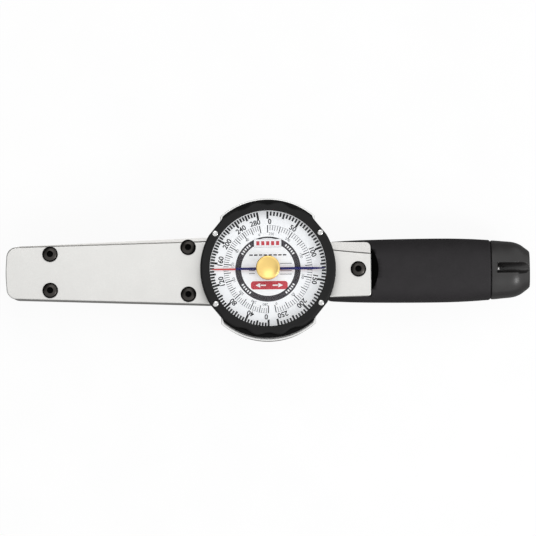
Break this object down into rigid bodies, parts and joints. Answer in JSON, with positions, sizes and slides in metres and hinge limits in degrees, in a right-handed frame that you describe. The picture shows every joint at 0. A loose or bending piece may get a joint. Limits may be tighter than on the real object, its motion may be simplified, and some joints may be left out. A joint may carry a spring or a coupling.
{
  "type": "dial torque wrench",
  "caption": "Dial torque wrench: 3/8 inch square drive, tapered metal case, round dial with turning bezel and memory pointer, rubber grip.",
  "frame": {"origin": "centre of the square drive's end face, on the drive axis", "axes": "+X along the wrench from the drive axis to the handle, +Z out of the dial face, parallel to the drive axis, +Y to the left of someone looking from the drive to the handle with the dial up"},
  "size_m": [0.2669, 0.0728, 0.046],
  "materials": {
    "satin_nickel": "satin nickel plate, lightly grained",
    "steel": "machined",
    "black_oxide": "black oxide, satin",
    "bronze": "sintered bronze",
    "brass": "turned and lacquered",
    "black_plastic": "matte, finely textured",
    "grip_rubber": "matte moulded rubber",
    "cap_plastic": "satin moulded plastic",
    "dial_white": "printed white face",
    "crystal": "clear",
    "red_paint": "red paint",
    "blue_paint": "navy paint"
  },
  "bodies": {
    "housing": {"case_body": "satin_nickel", "cover_plate": "satin_nickel", "cover_screw_1": "black_oxide", "cover_screw_2": "black_oxide", "cover_screw_3": "black_oxide", "cover_screw_4": "black_oxide", "cover_screw_5": "black_oxide", "head_bush": "bronze", "thrust_washer": "bronze", "anchor_block": "steel", "anchor_bolt_1": "black_oxide", "anchor_bolt_2": "black_oxide", "deflection_beam": "steel", "handle_core": "steel", "handle_dowel_1": "steel", "handle_dowel_2": "steel", "grip": "grip_rubber", "end_cap": "cap_plastic", "end_cap_screw": "steel", "dial_base": "satin_nickel", "base_screw_1": "steel", "base_screw_2": "steel", "base_screw_3": "steel", "staff_bush_lower": "bronze", "staff_bush_upper": "bronze", "hairspring_stud": "brass", "ring_clip": "steel"},
    "drive_head": {"drive_head": "steel", "indicator_arm": "steel", "arm_screw_1": "steel", "arm_screw_2": "steel", "detent_spring": "steel"},
    "detent_ball": {"detent_ball": "steel"},
    "pointer": {"pinion_staff": "steel", "indicator_hub": "brass", "indicator_needle": "red_paint", "hairspring_collet": "brass", "hairspring": "steel"},
    "dial_ring": {"zero_ring": "black_plastic", "dial_plate": "dial_white", "crystal_gasket": "grip_rubber", "crystal": "crystal", "bezel": "black_plastic", "bezel_screw_1": "steel", "bezel_screw_2": "steel", "bezel_screw_3": "steel", "bezel_screw_4": "steel"},
    "memory": {"memory_knob": "brass", "memory_spindle": "brass", "memory_needle": "blue_paint", "friction_washer": "steel"}
  },
  "joints": [
    {"name": "head_deflection", "type": "hinge", "parent": "housing", "child": "drive_head", "pos_m": [0, 0, 0], "axis": [0, 0, 1], "range_deg": [-3.62, 3.62], "deforming": ["deflection_beam"]},
    {"name": "pointer_spin", "type": "hinge", "parent": "housing", "child": "pointer", "pos_m": [0.1196, 0, 0], "axis": [0, 0, 1], "range_deg": [-170, 170], "deforming": ["hairspring"]},
    {"name": "dial_turn", "type": "hinge", "parent": "housing", "child": "dial_ring", "pos_m": [0.1196, 0, 0], "axis": [0, 0, 1], "continuous": true},
    {"name": "memory_turn", "type": "hinge", "parent": "dial_ring", "child": "memory", "pos_m": [0.1196, 0, 0], "axis": [0, 0, 1], "continuous": true},
    {"name": "ball_press", "type": "slide", "parent": "drive_head", "child": "detent_ball", "axis": [1, 0, 0], "range_m": [0, 0.0007], "deforming": ["detent_spring"]}
  ],
  "couplings": [
    {"joint": "pointer_spin", "follows": "head_deflection", "ratio": -46.84}
  ]
}
